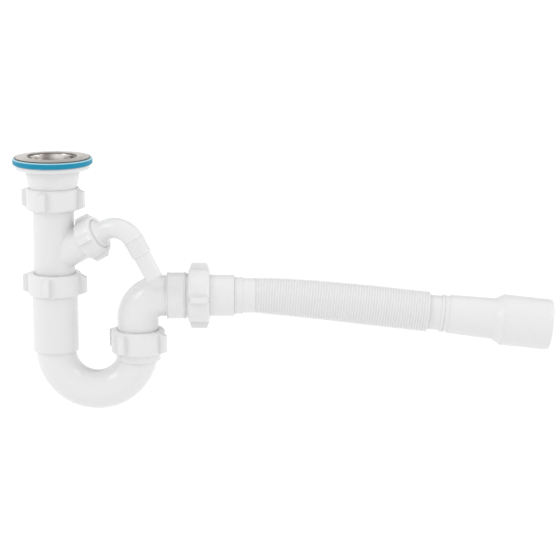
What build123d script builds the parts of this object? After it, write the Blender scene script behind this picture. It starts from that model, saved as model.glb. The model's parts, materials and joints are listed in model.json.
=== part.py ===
from build123d import *
import os
from math import cos, radians, sin

# Sink trap of white plastic pipe: a waste with a steel strainer, a tee with a hose tail, a U-bend,
# an outlet elbow and a corrugated hose with its end cuffs. Millimetres, +Z up.
# The origin is on the upright axis of the waste, in the plane where the strainer's rim and the
# gasket clamp the sink. The outlet runs towards +X and the hose tail turns a little towards -Y.

# Running gaps between pieces
turn_gap = 0.35
slip_gap = 0.4
seal_gap = 0.1
end_gap = 0.3

# Steel strainer flange, its screw and the brass insert
rim_overhang = 0.5
rim_crown = 1.3
bowl_diameter = 44.0
bowl_depth = 12.0
sheet_thickness = 1.0
bowl_round = 2.6
drain_hole_diameter = 7.0
drain_hole_circle = 29.0
drain_hole_count = 8
screw_diameter = 6.0
screw_head_diameter = 11.0
screw_head_height = 3.0
screw_slot_width = 1.4
screw_slot_depth = 1.6
screw_end_past_insert = 2.0
insert_diameter = 9.2
insert_length = 10.0
thread_play = 0.05

# Gasket and waste body
gasket_diameter = 79.0
gasket_hole_diameter = 50.0
gasket_thickness = 5.8
gasket_round = 1.2
waste_flange_diameter = 74.0
waste_flange_thickness = 4.8
waste_flange_round = 1.4
funnel_diameter = 54.5
funnel_height = 17.9
funnel_bulge = 0.4
funnel_wall = 2.6
waste_thread_wall = 3.4
waste_thread_length = 13.7
boss_diameter = 13.0
boss_drop = 12.5
boss_cap = 2.0
rib_thickness = 2.4
rib_height = 10.0
rib_count = 4

# Screw threads: the wall between a slip joint's bore and the crest of its thread, and the branch's thread
thread_wall = 3.1
branch_thread_diameter = 33.0

# Union nuts
nut_wall = 2.6
nut_ledge = 3.0
nut_chamfer = 1.8
lug_count = 4
lug_height = 5.7
lug_width = 6.2
lug_margin = 1.0
lug_slant = 2.2
waste_nut_height = 22.0
trap_nut_height = 22.0
bend_nut_height = 23.5
outlet_nut_height = 21.4
branch_nut_height = 18.0
branch_nut_wall = 3.1
branch_lug_height = 3.4
branch_nut_ledge = 2.5
branch_nut_chamfer = 1.4
waste_nut_turn = 15.7
trap_nut_turn = -11.0
bend_nut_turn = -30.0
outlet_nut_turn = -2.8
branch_nut_turn = -2.8

# Seals
flat_washer_thickness = 3.0
branch_washer_thickness = 2.2
cone_washer_thickness = 4.2
cone_washer_nose = 2.4
washer_inset = 0.6
mouth_chamfer = 1.7

# Tee with its branch
pipe_diameter = 40.8
pipe_wall = 2.2
tee_collar_inset = 0.5
tee_collar_thickness = 3.0
tee_length = 125.0
branch_drop = 56.2
branch_rise_deg = 30.0
branch_turn_deg = -17.5
branch_diameter = 32.0
branch_wall = 2.5
branch_reach = 48.3
branch_thread_length = 10.5
branch_root_round = 3.0

# Hose tail
tail_flange_thickness = 2.7
tail_dome_diameter = 30.0
tail_dome_neck = 2.0
tail_dome_length = 7.5
tail_diameter = 20.2
tail_bend_radius = 22.5
tail_mouth_diameter = 22.0
tail_bore_diameter = 15.0
barb_diameter = 21.0
barb_root_diameter = 19.4
barb_pitch = 2.8
barb_count = 6
tip_diameter = 17.4
tip_bore_diameter = 13.0
tip_length = 26.5
tip_round = 1.0

# U-bend
trap_insertion = 47.0
socket_wall = 1.7
socket_length = 71.3
bend_diameter = 39.2
bend_wall = 2.2
bend_spacing = 82.5
bend_thread_length = 14.0
bend_outlet_rise = 13.3
bend_shoulder_diameter = 44.6
bend_shoulder_height = 7.0
bend_shoulder_drop = 3.0

# Outlet elbow
elbow_oversize = 0.2
elbow_wall = 2.4
elbow_insertion = 12.5
elbow_throat = 3.5
elbow_leg_rise = 31.3
elbow_run = 5.5
collar_wall = 2.1
collar_length = 18.9
collar_bead_height = 0.5
collar_bead_width = 1.3
collar_groove = 2.9
collar_groove_depth = 0.8
elbow_thread_length = 13.6
elbow_stop = 3.0

# Corrugated hose and its cuffs
spigot_oversize = 0.4
spigot_wall = 2.3
spigot_insertion = 32.0
spigot_reach = 31.9
step_rise = 0.9
step_length = 8.6
step_rib_height = 0.5
step_rib_count = 4
neck_diameter = 34.6
neck_wall = 2.0
inlet_neck_length = 13.0
first_ridge_diameter = 37.4
last_ridge_diameter = 40.6
ridge_depth = 1.7
ridge_pitch = 4.34
hose_runs = [(3.4, 16), (6.1, 14), (8.2, 10)]
outlet_slope_deg = 6.2
outlet_neck_length = 12.2
cuff_bead_diameter = 37.4
cuff_bead_length = 3.0
cuff_groove_diameter = 36.2
cuff_groove_length = 5.3
sleeve_start_diameter = 38.6
sleeve_end_diameter = 41.2
sleeve_length = 45.8
sleeve_wall = 2.2
flare_length = 7.5
flare_round = 6.0
outlet_diameter = 50.8
outlet_length = 49.7
outlet_wall = 2.5
outlet_lead_length = 4.0
outlet_lead = 0.7


def thread_on(pipe):
    """The outer diameter of the thread round a pipe's slip joint."""
    return pipe + 2 * slip_gap + 2 * thread_wall


# Levels and sizes that several pieces share
rim_diameter = waste_flange_diameter + 2 * rim_overhang
elbow_diameter = pipe_diameter + elbow_oversize
elbow_bend_radius = elbow_diameter / 2 + elbow_throat
spigot_diameter = pipe_diameter + spigot_oversize
pipe_thread_diameter = thread_on(pipe_diameter)
waste_bore_diameter = pipe_thread_diameter - 2 * waste_thread_wall
tee_collar_diameter = pipe_thread_diameter - 2 * tee_collar_inset
flange_top = -gasket_thickness
flange_bottom = flange_top - waste_flange_thickness
thread_top = flange_bottom - funnel_height
thread_bottom = thread_top - waste_thread_length
tee_top = thread_bottom - flat_washer_thickness
waste_nut_ledge = tee_top - tee_collar_thickness - end_gap
branch_level = tee_top - branch_drop
tee_bottom = tee_top - tee_length
socket_top = tee_bottom + trap_insertion
bend_level = socket_top - socket_length
outlet_socket_top = bend_level + bend_outlet_rise
elbow_foot = outlet_socket_top - elbow_insertion
elbow_bend_foot = bend_level + elbow_leg_rise
outlet_level = elbow_bend_foot + elbow_bend_radius
collar_start = bend_spacing + elbow_bend_radius + elbow_run
elbow_end = collar_start + collar_length + collar_groove + elbow_thread_length
nut_seat = cone_washer_thickness + end_gap
rim_match = 0.01

# Frames of the slanted branch and of the outlet
branch_heading = (cos(radians(branch_turn_deg)), sin(radians(branch_turn_deg)))
branch_cos = cos(radians(branch_rise_deg))
branch_sin = sin(radians(branch_rise_deg))
branch_axis = Vector(branch_cos * branch_heading[0], branch_cos * branch_heading[1], branch_sin)
tail_axis = Vector(branch_sin * branch_heading[0], branch_sin * branch_heading[1], -branch_cos)
branch_frame = Plane(origin=(0, 0, branch_level), x_dir=tail_axis, z_dir=branch_axis)
outlet_frame = Plane(origin=(0, 0, outlet_level), x_dir=(0, 1, 0), z_dir=(1, 0, 0))


def turned(points):
    """A solid turned about Z from an outline of (radius, height) points."""
    return revolve(Plane.XZ * make_face(Polyline(points, close=True)), Axis.Z)


def post(diameter, low, high):
    """A round post on Z between two heights."""
    return Pos(0, 0, low) * Cylinder(diameter / 2, high - low, align=(Align.CENTER, Align.CENTER, Align.MIN))


def pipe_bend(diameter, start, centre_x, turn):
    """A round bar that leaves +Z at a point and turns towards +X about a centre beside it."""
    ring = Pos(*start) * Circle(diameter / 2)
    return revolve(ring, Axis((centre_x, 0, start[2]), (0, 1, 0)), revolution_arc=turn)


def rims_of(solid, diameter):
    """The round edges of a solid that have one diameter."""
    circles = solid.edges().filter_by(GeomType.CIRCLE)
    return circles.filter_by(lambda edge: abs(edge.radius - diameter / 2) < rim_match)


def union_nut(height, thread, hole, wall, lug, ledge, chamfer_size):
    """A nut with square lugs; its open end is at Z 0 and its ledge, round the pipe, at the top."""
    core_r = thread / 2 + turn_gap + wall
    lug_r = core_r + lug
    nut = turned([
        (0, 0),
        (core_r - chamfer_size, 0),
        (core_r, chamfer_size),
        (core_r, height - chamfer_size),
        (core_r - chamfer_size, height),
        (0, height),
    ])
    envelope = turned([
        (0, lug_margin),
        (core_r, lug_margin),
        (lug_r, lug_margin + lug_slant),
        (lug_r, height - lug_margin - lug_slant),
        (core_r, height - lug_margin),
        (0, height - lug_margin),
    ])
    tab = Box(lug_r, lug_width, height, align=(Align.MIN, Align.CENTER, Align.MIN)) & envelope
    for turn in range(lug_count):
        nut += Rot(0, 0, turn * 360 / lug_count) * tab
    nut -= post(thread + 2 * turn_gap, 0, height - ledge)
    return nut - post(hole + 2 * turn_gap, 0, height)


def flat_washer(outer, inner, thickness):
    return post(outer, 0, thickness) - post(inner, 0, thickness)


def cone_washer(pipe):
    """A seal whose flat shoulder is at Z 0 and whose nose points down into a socket's mouth."""
    bore_r = pipe / 2 + seal_gap
    mouth_r = pipe / 2 + slip_gap + mouth_chamfer - end_gap
    outer_r = thread_on(pipe) / 2 - washer_inset
    return turned([
        (bore_r, -cone_washer_nose * bore_r / mouth_r),
        (mouth_r, 0),
        (outer_r, 0),
        (outer_r, cone_washer_thickness),
        (bore_r, cone_washer_thickness),
    ])


def mouth_cone(pipe, level, way):
    """The flare cut into a socket's mouth; way is -1 where the socket runs down from its mouth."""
    bore_r = pipe / 2 + slip_gap
    depth = way * (cone_washer_nose + end_gap)
    return turned([(0, level), (bore_r + mouth_chamfer, level), (bore_r, level + depth), (0, level + depth)])


def steel_flange():
    rim_r = rim_diameter / 2
    bowl_r = bowl_diameter / 2
    middle = sheet_thickness / 2
    path = FilletPolyline(
        (rim_r, middle),
        (bowl_r + bowl_round, rim_crown + middle),
        (bowl_r + middle, -bowl_depth - middle),
        (screw_diameter / 2 + turn_gap, -bowl_depth - middle),
        radius=bowl_round,
    )
    bowl = revolve(Plane.XZ * trace(path, sheet_thickness), Axis.Z)
    hole = post(drain_hole_diameter, -bowl_depth - 2 * sheet_thickness, -bowl_depth + sheet_thickness)
    for spot in PolarLocations(drain_hole_circle / 2, drain_hole_count):
        bowl -= spot * hole
    return bowl


boss_top = -bowl_depth - boss_drop
insert_top = boss_top - boss_cap


def clamp_screw():
    head_r = screw_head_diameter / 2
    screw_r = screw_diameter / 2
    foot = insert_top - insert_length - screw_end_past_insert
    screw = turned([
        (0, -bowl_depth + screw_head_height),
        (head_r * 0.6, -bowl_depth + screw_head_height),
        (head_r, -bowl_depth + screw_head_height * 0.4),
        (head_r, -bowl_depth),
        (screw_r, -bowl_depth),
        (screw_r, foot),
        (0, foot),
    ])
    slot_top = -bowl_depth + screw_head_height
    return screw - Pos(0, 0, slot_top) * Box(screw_head_diameter, screw_slot_width, 2 * screw_slot_depth)


def insert_nut():
    sleeve = post(insert_diameter, insert_top - insert_length, insert_top)
    return sleeve - post(screw_diameter + 2 * thread_play, insert_top - insert_length, insert_top)


def sink_gasket():
    ring = post(gasket_diameter, flange_top, 0) - post(gasket_hole_diameter, flange_top, 0)
    return fillet(rims_of(ring, gasket_diameter), gasket_round)


def waste_body():
    funnel_r = funnel_diameter / 2
    thread_r = pipe_thread_diameter / 2
    bore_r = waste_bore_diameter / 2
    mouth_r = funnel_r - funnel_wall
    middle = (flange_bottom + thread_top) / 2
    outline = [
        Polyline([(mouth_r, flange_top), (waste_flange_diameter / 2, flange_top),
                  (waste_flange_diameter / 2, flange_bottom), (funnel_r, flange_bottom)]),
        ThreePointArc((funnel_r, flange_bottom), ((funnel_r + thread_r) / 2 + funnel_bulge, middle),
                      (thread_r, thread_top)),
        Polyline([(thread_r, thread_top), (thread_r, thread_bottom), (bore_r, thread_bottom),
                  (bore_r, thread_top), (mouth_r, flange_bottom), (mouth_r, flange_top)]),
    ]
    body = revolve(Plane.XZ * make_face(outline), Axis.Z)
    body = fillet(rims_of(body, waste_flange_diameter), waste_flange_round)
    boss = post(boss_diameter, insert_top - insert_length, boss_top)
    rib = Pos(0, 0, boss_top - boss_cap - rib_height) * Box(
        waste_bore_diameter / 2 + funnel_wall / 2, rib_thickness, rib_height,
        align=(Align.MIN, Align.CENTER, Align.MIN))
    for turn in range(rib_count):
        boss += Rot(0, 0, turn * 360 / rib_count) * rib
    boss -= post(insert_diameter + 2 * thread_play, insert_top - insert_length, insert_top)
    boss -= post(screw_diameter + 2 * turn_gap, insert_top, boss_top)
    return body + boss


def tee_pipe():
    pipe = post(pipe_diameter, tee_bottom, tee_top)
    collar = post(tee_collar_diameter, tee_top - tee_collar_thickness, tee_top)
    branch = post(branch_diameter, 0, branch_reach)
    joined = pipe + branch_frame * branch
    root = joined.edges().filter_by(GeomType.BSPLINE)
    joined = fillet(root, branch_root_round)
    thread = post(branch_thread_diameter, branch_reach - branch_thread_length, branch_reach)
    joined = joined + collar + branch_frame * thread
    joined -= post(pipe_diameter - 2 * pipe_wall, tee_bottom, tee_top)
    return joined - branch_frame * post(branch_diameter - 2 * branch_wall, 0, branch_reach)


tail_foot = branch_reach + branch_washer_thickness
tail_neck = tail_foot + tail_flange_thickness + tail_dome_neck
tail_bend_start = tail_neck + tail_dome_length
barb_start = tail_bend_radius
barb_end = barb_start + barb_count * barb_pitch
tip_end = barb_end + tip_length
tail_run = Plane(origin=(0, 0, tail_bend_start + tail_bend_radius), x_dir=(0, 1, 0), z_dir=(1, 0, 0))


def hose_tail():
    flange_r = branch_thread_diameter / 2 - seal_gap
    dome_r = tail_dome_diameter / 2
    tail_r = tail_diameter / 2
    middle = ((dome_r + tail_r) / 2, (tail_neck + tail_bend_start) / 2)
    swell = TangentArc((dome_r, tail_neck), middle, tangent=(0, 1))
    taper = TangentArc(middle, (tail_r, tail_bend_start), tangent=swell % 1)
    outline = [
        Polyline([(0, tail_foot), (flange_r, tail_foot), (flange_r, tail_foot + tail_flange_thickness),
                  (dome_r, tail_foot + tail_flange_thickness), (dome_r, tail_neck)]),
        swell,
        taper,
        Polyline([(tail_r, tail_bend_start), (0, tail_bend_start), (0, tail_foot)]),
    ]
    base = revolve(Plane.XZ * make_face(outline), Axis.Z)
    bend = pipe_bend(tail_diameter, (0, 0, tail_bend_start), tail_bend_radius, 90)
    barb = [(0, barb_start)]
    for index in range(barb_count):
        foot = barb_start + index * barb_pitch
        barb += [(barb_diameter / 2, foot), (barb_root_diameter / 2, foot + barb_pitch)]
    tip_r = tip_diameter / 2
    barb += [(tip_r, barb_end), (tip_r, tip_end - tip_round), (tip_r - tip_round, tip_end), (0, tip_end)]
    solid = base + bend + tail_run * turned(barb)
    mouth = turned([(0, tail_foot), (tail_mouth_diameter / 2, tail_foot),
                    (tail_bore_diameter / 2, tail_bend_start), (0, tail_bend_start)])
    bore = mouth + pipe_bend(tail_bore_diameter, (0, 0, tail_bend_start), tail_bend_radius, 90)
    bore += tail_run * post(tail_bore_diameter, barb_start, barb_end)
    bore += tail_run * post(tip_bore_diameter, barb_end, tip_end)
    return branch_frame * (solid - bore)


def u_bend():
    inner = bend_diameter - 2 * bend_wall
    centre = bend_spacing / 2
    outlet = Pos(bend_spacing, 0, 0)
    start = (0, 0, bend_level)
    shoulder = bend_level - bend_shoulder_drop
    inlet_bore = pipe_diameter + 2 * slip_gap
    outlet_bore = elbow_diameter + 2 * slip_gap
    solid = post(inlet_bore + 2 * socket_wall, bend_level, socket_top)
    solid += post(pipe_thread_diameter, socket_top - bend_thread_length, socket_top)
    solid += pipe_bend(bend_diameter, start, centre, -180)
    solid += outlet * post(bend_shoulder_diameter, shoulder - bend_shoulder_height, shoulder)
    solid += outlet * post(thread_on(elbow_diameter), shoulder, outlet_socket_top)
    solid -= pipe_bend(inner, start, centre, -180)
    solid -= post(inner, bend_level, socket_top)
    solid -= post(inlet_bore, bend_level + bend_wall, socket_top)
    solid -= mouth_cone(pipe_diameter, socket_top, -1)
    solid -= outlet * post(inner, bend_level, outlet_socket_top)
    solid -= outlet * post(outlet_bore, elbow_foot - end_gap, outlet_socket_top)
    return solid - outlet * mouth_cone(elbow_diameter, outlet_socket_top, -1)


def outlet_elbow():
    inner = elbow_diameter - 2 * elbow_wall
    leg = Pos(bend_spacing, 0, 0)
    start = (bend_spacing, 0, elbow_bend_foot)
    turn_end = bend_spacing + elbow_bend_radius
    centre = turn_end
    groove_start = collar_start + collar_length
    thread_start = groove_start + collar_groove
    socket_bore = spigot_diameter + 2 * slip_gap
    collar = socket_bore + 2 * collar_wall
    solid = leg * post(elbow_diameter, elbow_foot, elbow_bend_foot)
    solid += pipe_bend(elbow_diameter, start, centre, 90)
    solid += outlet_frame * post(elbow_diameter, turn_end, collar_start)
    solid += outlet_frame * post(collar, collar_start, groove_start)
    for bead in (collar_start, groove_start - collar_bead_width):
        solid += outlet_frame * post(collar + 2 * collar_bead_height, bead, bead + collar_bead_width)
    solid += outlet_frame * post(collar - 2 * collar_groove_depth, groove_start, thread_start)
    solid += outlet_frame * post(thread_on(spigot_diameter), thread_start, elbow_end)
    solid -= leg * post(inner, elbow_foot, elbow_bend_foot)
    solid -= pipe_bend(inner, start, centre, 90)
    solid -= outlet_frame * post(inner, turn_end, elbow_end)
    solid -= outlet_frame * post(socket_bore, elbow_end - spigot_insertion - elbow_stop, elbow_end)
    return solid - outlet_frame * mouth_cone(spigot_diameter, elbow_end, -1)


nut_face = elbow_end + nut_seat + nut_ledge
spigot_foot = elbow_end - spigot_insertion
spigot_end = elbow_end + spigot_reach
inlet_step_end = spigot_end + step_length
inlet_end = inlet_step_end + inlet_neck_length


def hose_inlet_cuff():
    spigot_r = spigot_diameter / 2
    neck_r = neck_diameter / 2
    neck_bore = neck_r - neck_wall
    step_r = neck_r + step_rise
    rib_pitch = step_length / step_rib_count
    outline = [(spigot_r - spigot_wall, spigot_foot), (spigot_r, spigot_foot), (spigot_r, spigot_end)]
    for index in range(step_rib_count):
        foot = spigot_end + index * rib_pitch
        outline += [(step_r, foot), (step_r + step_rib_height, foot + rib_pitch / 2)]
    outline += [
        (step_r, inlet_step_end),
        (neck_r, inlet_step_end),
        (neck_r, inlet_end),
        (neck_bore, inlet_end),
        (neck_bore, spigot_end - spigot_wall),
        (spigot_r - spigot_wall, spigot_end - spigot_wall),
    ]
    return outlet_frame * turned(outline)


def hose_points():
    """The hose's bends, from the inlet cuff to the outlet cuff, and the slope of each run."""
    points = [Vector(inlet_end, 0, outlet_level)]
    for slope, ridges in hose_runs:
        length = ridges * ridge_pitch
        points.append(points[-1] + Vector(cos(radians(slope)), 0, -sin(radians(slope))) * length)
    return points


def slope_frame(point, slope):
    heading = (cos(radians(slope)), 0, -sin(radians(slope)))
    return Plane(origin=point, x_dir=(0, 1, 0), z_dir=heading)


def ridge_radius(place):
    """The crests widen evenly from the first ridge to the last."""
    share = place / sum(ridges for slope, ridges in hose_runs)
    return (first_ridge_diameter * (1 - share) + last_ridge_diameter * share) / 2


def ridged_run(first, ridges):
    """A straight corrugated length on Z, long enough at both ends to be mitred."""
    bore_r = neck_diameter / 2 - neck_wall
    spare = ridge_pitch
    length = ridges * ridge_pitch
    start_r = ridge_radius(first) - ridge_depth
    end_r = ridge_radius(first + ridges) - ridge_depth
    outline = [(bore_r, -spare), (start_r, -spare)]
    for index in range(ridges):
        root = (ridge_radius(first + index) - ridge_depth, index * ridge_pitch)
        outline += [root, (ridge_radius(first + index + 0.5), (index + 0.5) * ridge_pitch)]
    outline += [(end_r, length), (end_r, length + spare), (bore_r, length + spare)]
    return turned(outline)


def corrugated_hose():
    points = hose_points()
    slopes = [0.0] + [slope for slope, ridges in hose_runs] + [outlet_slope_deg]
    last = len(hose_runs) - 1
    hose = None
    first = 0
    for index, (slope, ridges) in enumerate(hose_runs):
        first_cut = slopes[0] if index == 0 else (slopes[index] + slope) / 2
        last_cut = slopes[-1] if index == last else (slope + slopes[index + 2]) / 2
        run = slope_frame(points[index], slope) * ridged_run(first, ridges)
        run = split(run, bisect_by=slope_frame(points[index], first_cut), keep=Keep.TOP)
        run = split(run, bisect_by=slope_frame(points[index + 1], last_cut), keep=Keep.BOTTOM)
        hose = run if hose is None else hose + run
        first += ridges
    return hose


def hose_outlet_cuff():
    neck_r = neck_diameter / 2
    start_r = sleeve_start_diameter / 2
    end_r = sleeve_end_diameter / 2
    mouth_r = outlet_diameter / 2
    groove = outlet_neck_length + cuff_bead_length
    sleeve = groove + cuff_groove_length
    flare = sleeve + sleeve_length
    mouth = flare + flare_length
    end = mouth + outlet_length
    cuff = turned([
        (neck_r - neck_wall, 0),
        (neck_r, 0),
        (neck_r, outlet_neck_length),
        (cuff_bead_diameter / 2, outlet_neck_length),
        (cuff_bead_diameter / 2, groove),
        (cuff_groove_diameter / 2, groove),
        (cuff_groove_diameter / 2, sleeve),
        (start_r, sleeve),
        (end_r, flare),
        (mouth_r, mouth),
        (mouth_r, end - outlet_lead_length),
        (mouth_r - outlet_lead, end),
        (mouth_r - outlet_wall, end),
        (mouth_r - outlet_wall, mouth),
        (end_r - sleeve_wall, flare),
        (start_r - sleeve_wall, sleeve),
        (neck_r - neck_wall, outlet_neck_length),
    ])
    for diameter in (sleeve_end_diameter, outlet_diameter):
        cuff = fillet(rims_of(cuff, diameter), flare_round)
    return slope_frame(hose_points()[-1], outlet_slope_deg) * cuff


def placed_nuts():
    """The five union nuts, each on its own thread."""
    big = dict(wall=nut_wall, lug=lug_height, ledge=nut_ledge, chamfer_size=nut_chamfer)
    waste = union_nut(waste_nut_height, pipe_thread_diameter, pipe_diameter, **big)
    trap = union_nut(trap_nut_height, pipe_thread_diameter, pipe_diameter, **big)
    bend = union_nut(bend_nut_height, thread_on(elbow_diameter), elbow_diameter, **big)
    outlet = union_nut(outlet_nut_height, thread_on(spigot_diameter), spigot_diameter, **big)
    branch = union_nut(branch_nut_height, branch_thread_diameter, tail_dome_diameter, branch_nut_wall,
                       branch_lug_height, branch_nut_ledge, branch_nut_chamfer)
    waste_mouth = waste_nut_ledge - nut_ledge + waste_nut_height
    trap_mouth = socket_top + nut_seat + nut_ledge - trap_nut_height
    bend_mouth = outlet_socket_top + nut_seat + nut_ledge - bend_nut_height
    branch_mouth = tail_foot + tail_flange_thickness + end_gap + branch_nut_ledge - branch_nut_height
    return {
        "waste_nut": Pos(0, 0, waste_mouth) * Rot(180, 0, 0) * Rot(0, 0, waste_nut_turn) * waste,
        "trap_nut": Pos(0, 0, trap_mouth) * Rot(0, 0, trap_nut_turn) * trap,
        "bend_nut": Pos(bend_spacing, 0, bend_mouth) * Rot(0, 0, bend_nut_turn) * bend,
        "outlet_nut": outlet_frame * Pos(0, 0, nut_face - outlet_nut_height)
        * Rot(0, 0, outlet_nut_turn) * outlet,
        "branch_nut": branch_frame * Pos(0, 0, branch_mouth) * Rot(0, 0, branch_nut_turn) * branch,
    }


def placed_washers():
    """The flat seals of the waste and the branch, and the cone seals of the three slip joints."""
    waste = flat_washer(tee_collar_diameter, waste_bore_diameter, flat_washer_thickness)
    branch = flat_washer(branch_thread_diameter, branch_diameter - 2 * branch_wall, branch_washer_thickness)
    return {
        "waste_washer": Pos(0, 0, tee_top) * waste,
        "branch_washer": branch_frame * Pos(0, 0, branch_reach) * branch,
        "trap_washer": Pos(0, 0, socket_top) * cone_washer(pipe_diameter),
        "bend_washer": Pos(bend_spacing, 0, outlet_socket_top) * cone_washer(elbow_diameter),
        "outlet_washer": outlet_frame * Pos(0, 0, elbow_end) * cone_washer(spigot_diameter),
    }


pieces = {
    "steel_flange": steel_flange(),
    "clamp_screw": clamp_screw(),
    "insert_nut": insert_nut(),
    "sink_gasket": sink_gasket(),
    "waste_body": waste_body(),
    "tee_pipe": tee_pipe(),
    "hose_tail": hose_tail(),
    "u_bend": u_bend(),
    "outlet_elbow": outlet_elbow(),
    "hose_inlet_cuff": hose_inlet_cuff(),
    "corrugated_hose": corrugated_hose(),
    "hose_outlet_cuff": hose_outlet_cuff(),
}
pieces.update(placed_nuts())
pieces.update(placed_washers())

os.makedirs("parts", exist_ok=True)
for name, solid in pieces.items():
    export_step(solid, f"parts/{name}.step")
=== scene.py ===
"""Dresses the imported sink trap: white moulded plastic, a brushed strainer, a blue gasket and a folded hose.

Every length is in metres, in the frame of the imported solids.
"""
import json
import math

import bpy
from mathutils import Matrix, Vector


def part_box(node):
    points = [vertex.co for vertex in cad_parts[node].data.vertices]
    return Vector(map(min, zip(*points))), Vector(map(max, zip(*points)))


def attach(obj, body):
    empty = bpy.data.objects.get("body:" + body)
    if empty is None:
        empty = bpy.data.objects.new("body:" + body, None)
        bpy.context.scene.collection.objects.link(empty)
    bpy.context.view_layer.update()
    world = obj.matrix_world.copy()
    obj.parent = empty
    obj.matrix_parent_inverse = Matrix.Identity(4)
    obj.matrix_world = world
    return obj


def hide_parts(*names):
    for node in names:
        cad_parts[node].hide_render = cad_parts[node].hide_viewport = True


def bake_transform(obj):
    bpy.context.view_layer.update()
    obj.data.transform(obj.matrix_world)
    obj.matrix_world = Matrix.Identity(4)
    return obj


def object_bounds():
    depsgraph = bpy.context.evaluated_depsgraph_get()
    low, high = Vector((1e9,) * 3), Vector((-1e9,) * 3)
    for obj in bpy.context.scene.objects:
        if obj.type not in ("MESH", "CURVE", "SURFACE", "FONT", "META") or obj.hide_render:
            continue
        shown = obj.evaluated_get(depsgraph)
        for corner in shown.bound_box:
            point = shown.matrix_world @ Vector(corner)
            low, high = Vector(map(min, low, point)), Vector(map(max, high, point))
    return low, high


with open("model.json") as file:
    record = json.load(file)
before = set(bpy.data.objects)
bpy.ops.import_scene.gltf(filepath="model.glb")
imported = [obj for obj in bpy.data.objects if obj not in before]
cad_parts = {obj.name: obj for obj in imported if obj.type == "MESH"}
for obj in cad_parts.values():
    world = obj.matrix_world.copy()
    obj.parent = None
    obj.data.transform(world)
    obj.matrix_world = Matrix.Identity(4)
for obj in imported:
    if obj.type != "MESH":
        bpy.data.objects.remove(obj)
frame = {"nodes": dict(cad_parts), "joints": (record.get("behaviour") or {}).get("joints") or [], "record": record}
cad_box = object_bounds()

bl_info = {
    "name": "Sink Trap",
    "version": (1, 0, 0),
    "blender": (4, 5, 0),
    "location": "View3D > Sidebar > Sink Trap",
    "description": "Finishes the solids of a plastic sink trap and sets up its studio",
    "category": "Object",
}

nodes = frame["nodes"]
joints = {joint["name"]: joint for joint in frame["joints"]}
mounts = {mount["name"]: mount for mount in frame["record"]["mounts"]}
lowest = cad_box[0][2]
outlet_level = joints["hose_swivel"]["pos_m"][2]
hose_start = Vector((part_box("hose_inlet_cuff")[1][0], 0, outlet_level))
sleeve_middle = Vector(mounts["outlet_spigot"]["pos_m"])
sleeve_axis = Vector(mounts["outlet_spigot"]["axis"])
rim_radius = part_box("steel_flange")[1][0]
gasket_low, gasket_high = [corner[2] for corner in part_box("sink_gasket")]


class TrapSizes(bpy.types.PropertyGroup):
    """Sizes that shape the pieces made here."""

    edge_round: bpy.props.FloatProperty(
        name="Edge round", description="Radius of the moulded edges", default=0.0006, unit="LENGTH")
    mouth_radius: bpy.props.FloatProperty(
        name="Mouth radius", description="Where the strainer's rim turns down into its bowl",
        default=0.0246, unit="LENGTH")
    fold_count: bpy.props.IntProperty(
        name="Folds", description="Folds of the corrugated hose", default=65, min=4)
    fold_depth: bpy.props.FloatProperty(
        name="Fold depth", description="From the root of a fold to its crest",
        default=0.0010, unit="LENGTH")
    neck_radius: bpy.props.FloatProperty(
        name="Neck radius", description="Radius of the cuffs beside the folds",
        default=0.0173, unit="LENGTH")
    hose_radius: bpy.props.FloatProperty(
        name="Hose radius", description="Radius over the widest folds", default=0.0204, unit="LENGTH")
    hose_wall: bpy.props.FloatProperty(
        name="Hose wall", description="Wall of the hose's necks", default=0.0020, unit="LENGTH")
    hose_droop: bpy.props.FloatProperty(
        name="Droop", description="How far down the hose heads where it leaves its inlet cuff",
        default=math.radians(3.0), unit="ROTATION")
    pipe_radius: bpy.props.FloatProperty(
        name="Pipe radius", description="Outside radius of the straight pipes",
        default=0.0205, unit="LENGTH")
    elbow_radius: bpy.props.FloatProperty(
        name="Elbow radius", description="Radius of the elbow's turn, on its axis",
        default=0.0240, unit="LENGTH")
    bend_radius: bpy.props.FloatProperty(
        name="Bend pipe radius", description="Outside radius of the U-bend's pipe",
        default=0.0196, unit="LENGTH")
    sleeve_radius: bpy.props.FloatProperty(
        name="Sleeve radius", description="Outside radius of the wide sleeve",
        default=0.0254, unit="LENGTH")
    sleeve_reach: bpy.props.FloatProperty(
        name="Sleeve reach", description="From the wide sleeve's middle back to where it starts",
        default=0.0222, unit="LENGTH")
    seam_width: bpy.props.FloatProperty(
        name="Seam width", description="Width of a mould seam", default=0.0008, unit="LENGTH")
    seam_height: bpy.props.FloatProperty(
        name="Seam height", description="How far a mould seam stands proud",
        default=0.00016, unit="LENGTH")
    cuff_seam_width: bpy.props.FloatProperty(
        name="Cuff seam width", description="Width of the soft seam on the wide sleeve",
        default=0.0036, unit="LENGTH")
    cuff_seam_rise: bpy.props.FloatProperty(
        name="Cuff seam rise", description="How far that seam lies above the sleeve's side",
        default=math.radians(24.0), unit="ROTATION")
    bead_width: bpy.props.FloatProperty(
        name="Bead width", description="Width of the ring where the wide sleeve starts",
        default=0.0020, unit="LENGTH")
    bead_height: bpy.props.FloatProperty(
        name="Bead height", description="How far that ring stands proud", default=0.0004, unit="LENGTH")
    floor_drop: bpy.props.FloatProperty(
        name="Floor drop", description="How far under the trap the floor lies, to clear the bent hose",
        default=0.16, unit="LENGTH")


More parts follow.
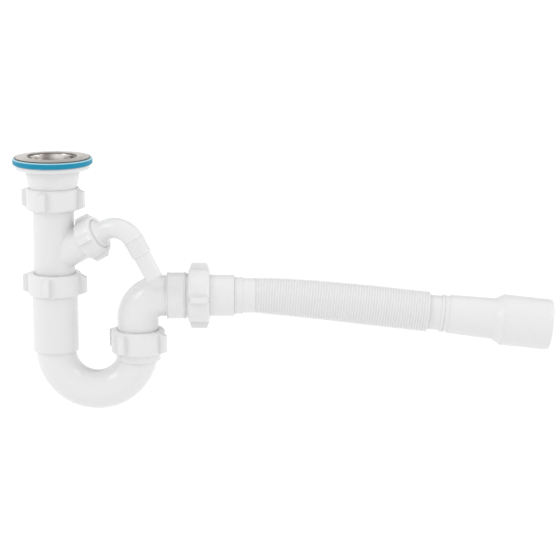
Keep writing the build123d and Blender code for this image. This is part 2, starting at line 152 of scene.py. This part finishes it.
class TrapColours(bpy.types.PropertyGroup):
    """Colours of the finishes."""

    plastic: bpy.props.FloatVectorProperty(
        name="Plastic", description="White moulded plastic", subtype="COLOR", size=3, min=0, max=1,
        default=(0.725, 0.725, 0.725))
    gasket: bpy.props.FloatVectorProperty(
        name="Gasket", description="Blue rubber", subtype="COLOR", size=3, min=0, max=1,
        default=(0.002, 0.237, 0.383))
    # Colour of the painted highlight along the gasket's top edge.
    gasket_lip_highlight: bpy.props.FloatVectorProperty(
        name="Gasket lip", description="Pale top edge of the blue rubber", subtype="COLOR", size=3,
        min=0, max=1, default=(0.40, 0.66, 0.76))
    steel: bpy.props.FloatVectorProperty(
        name="Steel", description="Bright stainless sheet", subtype="COLOR", size=3, min=0, max=1,
        default=(0.84, 0.805, 0.765))
    # Dark end of the steel's painted reflections in the bowl and of the painted shade along its edge.
    steel_shade: bpy.props.FloatVectorProperty(
        name="Steel shade", description="Dark streaks and edges of the sheet", subtype="COLOR", size=3,
        min=0, max=1, default=(0.13, 0.11, 0.10))
    seal: bpy.props.FloatVectorProperty(
        name="Seals", description="Inner rubber seals", subtype="COLOR", size=3, min=0, max=1,
        default=(0.03, 0.03, 0.032))
    brass: bpy.props.FloatVectorProperty(
        name="Brass", description="Threaded insert", subtype="COLOR", size=3, min=0, max=1,
        default=(0.72, 0.52, 0.22))
    floor: bpy.props.FloatVectorProperty(
        name="Floor", description="Studio floor", subtype="COLOR", size=3, min=0, max=1,
        default=(0.52, 0.52, 0.52))
    card: bpy.props.FloatVectorProperty(
        name="Card", description="Grey card that the steel mirrors", subtype="COLOR", size=3, min=0, max=1,
        default=(0.2, 0.2, 0.2))


class Value:
    """A shader socket that takes part in Python arithmetic; every step adds one Math node."""

    def __init__(self, tree, socket):
        self.tree = tree
        self.socket = socket

    def math(self, operation, *items):
        node = self.tree.nodes.new("ShaderNodeMath")
        node.operation = operation
        for slot, item in zip(node.inputs, items):
            feed(self.tree, slot, item)
        return Value(self.tree, node.outputs[0])

    def __add__(self, other):
        return self.math("ADD", self, other)

    def __radd__(self, other):
        return self.math("ADD", other, self)

    def __sub__(self, other):
        return self.math("SUBTRACT", self, other)

    def __rsub__(self, other):
        return self.math("SUBTRACT", other, self)

    def __mul__(self, other):
        return self.math("MULTIPLY", self, other)

    def __rmul__(self, other):
        return self.math("MULTIPLY", other, self)

    def __truediv__(self, other):
        return self.math("DIVIDE", self, other)

    def __rtruediv__(self, other):
        return self.math("DIVIDE", other, self)

    def __pow__(self, other):
        return self.math("POWER", self, other)

    def __rpow__(self, other):
        return self.math("POWER", other, self)


def feed(tree, slot, item):
    """Links a Value to an input, or sets a plain number, colour or vector on it."""
    if isinstance(item, Value):
        tree.links.new(item.socket, slot)
    else:
        slot.default_value = item


class Finish:
    """One material: a Principled shader and the nodes that feed it."""

    # The colour sockets of a Mix node share their names with its other sockets, so they go by number.
    mix_first, mix_second, mix_result = 6, 7, 2

    def __init__(self, name):
        self.material = bpy.data.materials.new(name)
        self.material.use_nodes = True
        self.tree = self.material.node_tree
        self.shader = self.tree.nodes["Principled BSDF"]
        self.place = self.node("ShaderNodeTexCoord", output="Object")

    def node(self, kind, settings=None, inputs=None, output=0):
        """Adds a node, sets it up, feeds its inputs and gives one of its outputs."""
        node = self.tree.nodes.new(kind)
        for name, value in (settings or {}).items():
            setattr(node, name, value)
        for name, value in (inputs or {}).items():
            feed(self.tree, node.inputs[name], value)
        return Value(self.tree, node.outputs[output])

    def axes(self):
        """The place on the piece, as X, Y and Z."""
        place = {"Vector": self.place}
        return [self.node("ShaderNodeSeparateXYZ", inputs=place, output=axis) for axis in "XYZ"]

    def vector(self, x, y, z):
        return self.node("ShaderNodeCombineXYZ", inputs={"X": x, "Y": y, "Z": z})

    def noise(self, scale, detail=2.0, place=None):
        inputs = {"Vector": place or self.place, "Scale": scale, "Detail": detail}
        return self.node("ShaderNodeTexNoise", inputs=inputs, output="Fac")

    def ramp(self, value, low, high):
        """Rises smoothly from 0 at low to 1 at high."""
        inputs = {"Value": value, "From Min": low, "From Max": high}
        return self.node("ShaderNodeMapRange", {"interpolation_type": "SMOOTHSTEP"}, inputs)

    def mix(self, factor, first, second):
        """Blends two colours, each a Value or three plain channels."""
        ends = [item if isinstance(item, Value) else (*item, 1) for item in (first, second)]
        inputs = {0: factor, self.mix_first: ends[0], self.mix_second: ends[1]}
        return self.node("ShaderNodeMix", {"data_type": "RGBA"}, inputs, self.mix_result)

    def bump(self, height, strength, distance):
        inputs = {"Height": height, "Strength": strength, "Distance": distance}
        return self.node("ShaderNodeBump", inputs=inputs, output="Normal")

    def surface(self, values):
        """Feeds the Principled shader and gives the material."""
        for name, value in values.items():
            feed(self.tree, self.shader.inputs[name], value)
        return self.material


def scaled(colour, share):
    """A darker or lighter colour, no lighter than white."""
    return tuple(min(1.0, channel * share) for channel in colour)


def plastic_finish(name, colour, roughness, orange_peel):
    """Moulded polypropylene: a fine mottle, a soft gloss and a faint orange-peel skin."""
    finish = Finish(name)
    mottle = finish.noise(scale=160.0, detail=3.0)
    peel = finish.noise(scale=420.0)
    return finish.surface({
        "Base Color": finish.mix(mottle, scaled(colour, 0.98), colour),
        "Roughness": roughness + 0.05 * mottle,
        "Normal": finish.bump(peel, strength=orange_peel, distance=0.0002),
        "IOR": 1.49,
        "Coat Weight": 0.12,
        "Coat Roughness": 0.12,
    })


def steel_finish(bright, dark, mouth_radius):
    """Stainless sheet: turned lines on the rim, painted shade along its outer edge and under its lip, and painted
    reflections as bright and dark streaks down the bowl.
    """
    lines_per_metre = 2600.0
    # The bowl's bright and dark streaks are painted reflections of the lamps and room: how many there are, and the
    # turn of the darkest.
    reflection_count = 5
    darkest_reflection_turn = math.radians(110.0)
    finish = Finish("brushed strainer steel")
    x, y, z = finish.axes()
    radius = (x * x + y * y) ** 0.5
    turn = x.math("ARCTAN2", y, x)
    lines = finish.noise(1.0, 3.0, finish.vector(radius * lines_per_metre, turn * 3.0, z * 60.0))
    reflection_drift = finish.noise(1.0, 1.0, finish.vector(x / radius * 2.2, y / radius * 2.2, 3.0))
    reflection_wave = 0.5 - 0.5 * turn.math("COSINE", (turn - darkest_reflection_turn) * reflection_count)
    painted_reflection = finish.ramp(0.7 * reflection_wave + 0.6 * reflection_drift, 0.2, 0.8)
    smudge = finish.noise(scale=90.0, detail=3.0)
    rim = finish.ramp(radius, mouth_radius + 0.0004, mouth_radius + 0.0010)
    # Painted shade: a dark band at the top of the bowl, just under the rim's lip.
    lip_shadow = finish.ramp(radius, mouth_radius - 0.0009, mouth_radius - 0.0005)
    # Painted shade: the rim's outer edge turns dark, as in the shadow gap where it overhangs the gasket.
    edge_shadow = finish.ramp(radius, rim_radius - 0.0012, rim_radius - 0.0004)
    # The bowl's colour: painted reflections, darkened by painted shade just under the lip.
    bowl_painted_light = (0.2 + 0.7 * painted_reflection) * (1 - 0.85 * lip_shadow)
    sheen = rim * (0.86 + 0.14 * lines) + (1 - rim) * bowl_painted_light
    return finish.surface({
        "Base Color": finish.mix(sheen * (1 - edge_shadow), dark, bright),
        "Metallic": 1.0,
        "Roughness": 0.13 + 0.05 * smudge + rim * (0.16 + 0.12 * lines),
        "Normal": finish.bump(lines * rim, strength=0.22, distance=0.0001),
    })


def rubber_surface(finish, colour, roughness):
    """What all the rubbers share: a dusty bloom over their colour and a fine skin."""
    bloom = finish.noise(scale=160.0, detail=4.0)
    skin = finish.noise(scale=1500.0)
    return {
        "Base Color": finish.mix(bloom, scaled(colour, 0.86), scaled(colour, 1.12)),
        "Roughness": roughness + 0.14 * bloom,
        "Normal": finish.bump(skin, strength=0.12, distance=0.0001),
    }


def rubber_finish(name, colour, roughness):
    """Plain moulded rubber."""
    finish = Finish(name)
    return finish.surface(rubber_surface(finish, colour, roughness))


def gasket_finish(colour, lip_highlight_colour):
    """Moulded rubber, less glossy, with a painted highlight: a paler band along its top edge."""
    finish = Finish("blue gasket rubber")
    z = finish.axes()[2]
    # Painted highlight: the top edge of the rubber turns paler, where its rounded edge would catch the light.
    lip = finish.ramp((z - gasket_low) / (gasket_high - gasket_low), 0.78, 0.94)
    surface = rubber_surface(finish, colour, roughness=0.34)
    surface["Base Color"] = finish.mix(lip, surface["Base Color"], lip_highlight_colour)
    surface["Specular IOR Level"] = 0.25
    return finish.surface(surface)


def brass_finish(colour):
    """Turned brass with a cloudy stain."""
    finish = Finish("insert brass")
    stain = finish.noise(scale=300.0, detail=4.0)
    return finish.surface({
        "Base Color": finish.mix(stain, scaled(colour, 0.7), colour),
        "Metallic": 1.0,
        "Roughness": 0.25 + 0.2 * stain,
    })


def floor_finish(colour):
    """A matt floor with a faint haze, which glows a little so that it stays pale in the shade."""
    finish = Finish("studio floor")
    haze = finish.noise(scale=1.5)
    return finish.surface({
        "Base Color": finish.mix(haze, scaled(colour, 0.985), colour),
        "Roughness": 0.9,
        "Emission Color": (1, 1, 1, 1),
        "Emission Strength": 0.50,
    })


finishes = {}


def finish_of(slot):
    """The finish of one material slot, made once."""
    colours = bpy.context.scene.trap_colours
    mouth_radius = bpy.context.scene.trap_sizes.mouth_radius
    makers = {
        "white_plastic": lambda: plastic_finish("moulded white plastic", colours.plastic, 0.20, 0.10),
        "hose_plastic": lambda: plastic_finish("blown white plastic", colours.plastic, 0.36, 0.06),
        "strainer_steel": lambda: steel_finish(colours.steel, colours.steel_shade, mouth_radius),
        "blue_rubber": lambda: gasket_finish(colours.gasket, colours.gasket_lip_highlight),
        "seal_rubber": lambda: rubber_finish("seal rubber", colours.seal, 0.5),
        "insert_brass": lambda: brass_finish(colours.brass),
    }
    if slot not in finishes:
        finishes[slot] = makers[slot]()
    return finishes[slot]


def dress(piece, slot):
    """Gives a piece the finish of a slot."""
    piece.data.materials.clear()
    piece.data.materials.append(finish_of(slot))


def soften(node, slot, share=1.0):
    """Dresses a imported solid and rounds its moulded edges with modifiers, by a share of the usual radius."""
    piece = nodes[node]
    dress(piece, slot)
    weld = piece.modifiers.new("joined corners", "WELD")
    weld.merge_threshold = 1e-6
    bevel = piece.modifiers.new("moulded edges", "BEVEL")
    bevel.width = bpy.context.scene.trap_sizes.edge_round * share
    bevel.segments = 2
    bevel.limit_method = "ANGLE"
    bevel.angle_limit = math.radians(32.0)


def new_piece(name, points, faces):
    """A smooth-shaded object in the scene."""
    mesh = bpy.data.meshes.new(name)
    mesh.from_pydata(points, [], faces)
    mesh.shade_smooth()
    piece = bpy.data.objects.new(name, mesh)
    bpy.context.scene.collection.objects.link(piece)
    return piece


def ring_faces(rings, around):
    """Quads between rings of points; the last ring closes on the first."""
    faces = []
    for ring in range(rings):
        low = ring * around
        high = ((ring + 1) % rings) * around
        for step in range(around):
            after = (step + 1) % around
            faces.append((low + step, low + after, high + after, high + step))
    return faces


def turned(centre, axis, outline, around):
    """Points of (along, radius) spots turned about an axis that lies in the XZ plane."""
    side = Vector((0, 1, 0))
    top = side.cross(axis)
    points = []
    for along, radius in outline:
        for step in range(around):
            turn = 2 * math.pi * step / around
            points.append(centre + axis * along + radius * (math.cos(turn) * side + math.sin(turn) * top))
    return points


def curve_point(start, start_pull, end_pull, end, share):
    """A point and a heading on a cubic curve."""
    rest = 1 - share
    point = (start * rest ** 3 + start_pull * (3 * rest * rest * share)
             + end_pull * (3 * rest * share * share) + end * share ** 3)
    heading = ((start_pull - start) * (rest * rest) + (end_pull - start_pull) * (2 * rest * share)
               + (end - end_pull) * (share * share))
    return point, heading.normalized()


def fold_outline(sizes):
    """Spots of (share of the length, radius) over the folds, and back along the bore."""
    steps_per_fold = 8
    widening, widening_power = 1.2, 0.45
    crest_power = 0.8
    steps = sizes.fold_count * steps_per_fold
    outline = []
    for step in range(steps + 1):
        share = step / steps
        swell = min(1, widening * share ** widening_power)
        crest = sizes.neck_radius + (sizes.hose_radius - sizes.neck_radius) * swell
        root = max(crest - sizes.fold_depth, sizes.neck_radius - sizes.fold_depth / 2)
        fold = 0.5 - 0.5 * math.cos(2 * math.pi * step / steps_per_fold)
        outline.append((share, root + (crest - root) * fold ** crest_power))
    bore = sizes.neck_radius - sizes.hose_wall
    return outline + [(1.0, bore), (0.5, bore), (0.0, bore)]


def seam(name, body, spots, width):
    """A mould seam: a low ridge along (point, outward) spots on a moulding's skin."""
    height = bpy.context.scene.trap_sizes.seam_height
    points = []
    for index, (point, outward) in enumerate(spots):
        along = spots[min(index + 1, len(spots) - 1)][0] - spots[max(index - 1, 0)][0]
        side = along.normalized().cross(outward) * (width / 2)
        foot = point - outward * height
        points += [foot - side, point + outward * height, foot + side]
    faces = [(2, 1, 0), (len(points) - 3, len(points) - 2, len(points) - 1)]
    for index in range(len(spots) - 1):
        low = index * 3
        faces += [(low + a, low + b, low + b + 3, low + a + 3) for a, b in ((0, 1), (1, 2), (2, 0))]
    ridge = new_piece(name, points, faces)
    ridge.data.shade_flat()
    dress(ridge, "white_plastic")
    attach(ridge, body)


def arc_spots(centre, radius, start_deg, end_deg, way, count=48):
    """Spots on an upright arc at Y 0; way is 1 on the outside of a bend and -1 on its inside."""
    spots = []
    for index in range(count + 1):
        turn = math.radians(start_deg + (end_deg - start_deg) * index / count)
        outward = Vector((math.cos(turn), 0, math.sin(turn)))
        spots.append((centre + outward * radius, outward * way))
    return spots


def line_spots(axis_point, along, outward, radius, low, high):
    """Two spots on a straight pipe, at two places along its axis."""
    return [(axis_point + along * place + outward * radius, outward) for place in (low, high)]


class TRAP_OT_strainer(bpy.types.Operator):
    """Steel strainer flange and its clamp screw"""
    bl_idname = "trap.strainer"
    bl_label = "Strainer"

    def execute(self, context):
        dress(nodes["steel_flange"], "strainer_steel")
        soften("clamp_screw", "strainer_steel")
        return {"FINISHED"}


class TRAP_OT_gasket(bpy.types.Operator):
    """Blue sink gasket"""
    bl_idname = "trap.gasket"
    bl_label = "Gasket"

    def execute(self, context):
        soften("sink_gasket", "blue_rubber")
        return {"FINISHED"}


class TRAP_OT_pipes(bpy.types.Operator):
    """Waste body, tee, U-bend, elbow, hose tail and hose cuffs"""
    bl_idname = "trap.pipes"
    bl_label = "Pipes"

    def execute(self, context):
        for node in ("waste_body", "tee_pipe", "u_bend", "outlet_elbow", "hose_tail"):
            soften(node, "white_plastic")
        # The inlet cuff's ribs are fine, so its edges get a smaller round.
        soften("hose_inlet_cuff", "hose_plastic", share=0.25)
        soften("hose_outlet_cuff", "hose_plastic")
        return {"FINISHED"}


class TRAP_OT_nuts(bpy.types.Operator):
    """Lugged union nuts"""
    bl_idname = "trap.nuts"
    bl_label = "Union nuts"

    def execute(self, context):
        for node in ("waste_nut", "trap_nut", "bend_nut", "outlet_nut", "branch_nut"):
            soften(node, "white_plastic")
        return {"FINISHED"}


class TRAP_OT_seals(bpy.types.Operator):
    """Inner seals and the brass insert"""
    bl_idname = "trap.seals"
    bl_label = "Seals"

    def execute(self, context):
        for node in ("waste_washer", "branch_washer", "trap_washer", "bend_washer", "outlet_washer"):
            dress(nodes[node], "seal_rubber")
        dress(nodes["insert_nut"], "insert_brass")
        return {"FINISHED"}


class TRAP_OT_bellows(bpy.types.Operator):
    """Corrugated hose with its fine folds"""
    bl_idname = "trap.bellows"
    bl_label = "Corrugated hose"

    def execute(self, context):
        sizes = context.scene.trap_sizes
        around = 80
        end_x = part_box("hose_outlet_cuff")[0][0] - sizes.neck_radius * sleeve_axis.z
        end = sleeve_middle + sleeve_axis * ((end_x - sleeve_middle.x) / sleeve_axis.x)
        pull = (end - hose_start).length / 3
        droop = Vector((math.cos(sizes.hose_droop), 0, -math.sin(sizes.hose_droop)))
        curve = (hose_start, hose_start + droop * pull, end - sleeve_axis * pull, end)
        # The first folds stay square to the inlet cuff, and lean into the curve over this share of the hose.
        square_share = 0.06
        outline = fold_outline(sizes)
        points = []
        for share, radius in outline:
            centre, heading = curve_point(*curve, share)
            axis = Vector((1, 0, 0)).lerp(heading, min(1, share / square_share)).normalized()
            points += turned(centre, axis, [(0, radius)], around)
        hose = new_piece("folded_hose", points, ring_faces(len(outline), around))
        dress(hose, "hose_plastic")
        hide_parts("corrugated_hose")
        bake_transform(hose)
        return {"FINISHED"}


class TRAP_OT_seams(bpy.types.Operator):
    """Mould seams of the pipes and of the wide sleeve"""
    bl_idname = "trap.seams"
    bl_label = "Mould seams"

    def execute(self, context):
        sizes = context.scene.trap_sizes
        self.bend_and_elbow(sizes)
        self.tee(sizes)
        self.sleeve(sizes)
        return {"FINISHED"}

    def bend_and_elbow(self, sizes):
        """Seams round the U-bend, from under its inlet leg to under its shoulder, and over the elbow."""
        bend_start, bend_outer_end, bend_inner_end = 183.0, 352.0, 350.0
        elbow_start, elbow_end = 180.0, 92.0
        half_span = joints["elbow_swivel"]["pos_m"][0] / 2
        middle = Vector((half_span, 0, lowest + half_span + sizes.bend_radius))
        outer = arc_spots(middle, half_span + sizes.bend_radius, bend_start, bend_outer_end, 1)
        inner = arc_spots(middle, half_span - sizes.bend_radius, bend_start, bend_inner_end, -1)
        turn = Vector((2 * half_span + sizes.elbow_radius, 0, outlet_level - sizes.elbow_radius))
        over = arc_spots(turn, sizes.elbow_radius + sizes.pipe_radius, elbow_start, elbow_end, 1, count=24)
        seam("bend_seam_outer", "u_bend", outer, sizes.seam_width)
        seam("bend_seam_inner", "u_bend", inner, sizes.seam_width)
        seam("elbow_seam", "elbow", over, sizes.seam_width)

    def tee(self, sizes):
        """A seam down the tee's back, opposite its branch, which stops short of both nuts."""
        nut_gap = 0.001
        sunk = 0.0001
        branch = Vector(joints["tail_swing"]["axis"])
        back = -Vector((branch.x, branch.y, 0)).normalized()
        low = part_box("trap_nut")[1][2] + nut_gap
        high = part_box("waste_nut")[0][2] - nut_gap
        spots = line_spots(Vector(), Vector((0, 0, 1)), back, sizes.pipe_radius - sunk, low, high)
        seam("tee_seam", "tee", spots, sizes.seam_width)

    def sleeve(self, sizes):
        """Two seams along the wide sleeve, from its ring to its rounded end."""
        start, end = -0.0200, 0.0205
        across = Vector((0, -1, 0))
        above = across.cross(sleeve_axis)
        for name, way in (("cuff_seam_front", 1), ("cuff_seam_back", -1)):
            outward = (across * math.cos(sizes.cuff_seam_rise) + above * math.sin(sizes.cuff_seam_rise)) * way
            spots = line_spots(sleeve_middle, sleeve_axis, outward, sizes.sleeve_radius, start, end)
            seam(name, "hose_outlet", spots, sizes.cuff_seam_width)


class TRAP_OT_sleeve_bead(bpy.types.Operator):
    """Low rounded ring where the wide sleeve starts"""
    bl_idname = "trap.sleeve_bead"
    bl_label = "Sleeve bead"

    def execute(self, context):
        sizes = context.scene.trap_sizes
        around = 96
        # Each spot is a share of half the bead's width and a share of its height.
        bulge = [(-1, -1), (-0.75, 0.1), (-0.4, 0.75), (0, 1), (0.4, 0.75), (0.75, 0.1), (1, -1)]
        outline = [(along * sizes.bead_width / 2, sizes.sleeve_radius + rise * sizes.bead_height)
                   for along, rise in bulge]
        centre = sleeve_middle - sleeve_axis * sizes.sleeve_reach
        points = turned(centre, sleeve_axis, outline, around)
        bead = new_piece("sleeve_bead", points, ring_faces(len(outline), around))
        dress(bead, "hose_plastic")
        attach(bead, "hose_outlet")
        return {"FINISHED"}


class TRAP_OT_stage(bpy.types.Operator):
    """Studio floor, lights and camera"""
    bl_idname = "trap.stage"
    bl_label = "Studio"

    def execute(self, context):
        scene = context.scene
        self.floor(scene.trap_sizes.floor_drop, scene.trap_colours.floor)
        self.sky(scene)
        self.lamp("left spot", place=(-1.6, -1.0, 1.3), size=0.9, power=7.0)
        self.lamp("right spot", place=(2.0, -1.0, 1.3), size=0.9, power=4.5)
        self.lamp("left wash", place=(-2.0, 0.1, 0.5), size=1.4, power=2.5)
        self.lamp("right wash", place=(2.4, 0.1, 0.5), size=1.4, power=4.0)
        self.lamp("top", place=(0.25, -0.2, 2.0), size=1.6, power=2.0)
        self.card(scene.trap_colours.card)
        self.camera(scene)
        scene.view_settings.view_transform = "Standard"
        return {"FINISHED"}

    def sheet(self, name, corners, finish):
        """A flat four-cornered sheet of the studio."""
        sheet = new_piece(name, corners, [(0, 1, 2, 3)])
        sheet.data.materials.append(finish)

    def floor(self, drop, colour):
        half = 14.0
        level = lowest - drop
        corners = [(-half, -half, level), (half, -half, level), (half, half, level), (-half, half, level)]
        self.sheet("floor", corners, floor_finish(colour))

    def card(self, colour):
        """A grey card behind and above the trap, out of the picture, for the steel to mirror."""
        left, right = -0.5, 1.6
        low_edge, high_edge = (2.4, 0.75), (2.0, 2.2)
        corners = [(left, *low_edge), (right, *low_edge), (right, *high_edge), (left, *high_edge)]
        self.sheet("card", corners, rubber_finish("grey card", colour, 0.8))

    def sky(self, scene):
        """Even white light from all round."""
        scene.world = bpy.data.worlds.new("studio air")
        scene.world.use_nodes = True
        air = scene.world.node_tree.nodes["Background"]
        air.inputs["Color"].default_value = (1, 1, 1, 1)
        air.inputs["Strength"].default_value = 1.0

    def lamp(self, name, place, size, power):
        """A round soft lamp that faces the trap."""
        trap_middle = Vector((0.22, 0, -0.12))
        data = bpy.data.lights.new(name, "AREA")
        data.shape = "DISK"
        data.size = size
        data.energy = power
        lamp = bpy.data.objects.new(name, data)
        lamp.location = Vector(place)
        lamp.rotation_euler = (trap_middle - lamp.location).to_track_quat("-Z", "Y").to_euler()
        bpy.context.scene.collection.objects.link(lamp)

    def camera(self, scene):
        """A long lens at the photograph's angle."""
        pitch = math.radians(12.0)
        aim = Vector((0.225, 0, -0.1235))
        distance = 2.2
        view_width = 0.56
        heading = Vector((0, math.cos(pitch), -math.sin(pitch)))
        data = bpy.data.cameras.new("camera")
        data.sensor_width = 36.0
        data.lens = data.sensor_width * distance / view_width
        camera = bpy.data.objects.new("camera", data)
        camera.location = aim - heading * distance
        camera.rotation_euler = heading.to_track_quat("-Z", "Y").to_euler()
        scene.collection.objects.link(camera)
        scene.camera = camera


operators = (TRAP_OT_strainer, TRAP_OT_gasket, TRAP_OT_pipes, TRAP_OT_nuts, TRAP_OT_seals, TRAP_OT_bellows,
             TRAP_OT_seams, TRAP_OT_sleeve_bead, TRAP_OT_stage)


class TRAP_PT_panel(bpy.types.Panel):
    """Lists the trap's sizes and colours, and the steps that dress it"""
    bl_idname = "TRAP_PT_panel"
    bl_label = "Sink Trap"
    bl_space_type = "VIEW_3D"
    bl_region_type = "UI"
    bl_category = "Sink Trap"

    def draw(self, context):
        for group in (context.scene.trap_sizes, context.scene.trap_colours):
            for name in group.__annotations__:
                self.layout.prop(group, name)
        for operator in operators:
            self.layout.operator(operator.bl_idname)


classes = (TrapSizes, TrapColours, *operators, TRAP_PT_panel)


def register():
    for item in classes:
        bpy.utils.register_class(item)
    bpy.types.Scene.trap_sizes = bpy.props.PointerProperty(type=TrapSizes)
    bpy.types.Scene.trap_colours = bpy.props.PointerProperty(type=TrapColours)


def unregister():
    del bpy.types.Scene.trap_colours
    del bpy.types.Scene.trap_sizes
    for item in reversed(classes):
        bpy.utils.unregister_class(item)


def main():
    register()
    bpy.ops.trap.strainer()
    bpy.ops.trap.gasket()
    bpy.ops.trap.pipes()
    bpy.ops.trap.nuts()
    bpy.ops.trap.seals()
    bpy.ops.trap.bellows()
    bpy.ops.trap.seams()
    bpy.ops.trap.sleeve_bead()
    bpy.ops.trap.stage()


if __name__ == "__main__":
    main()
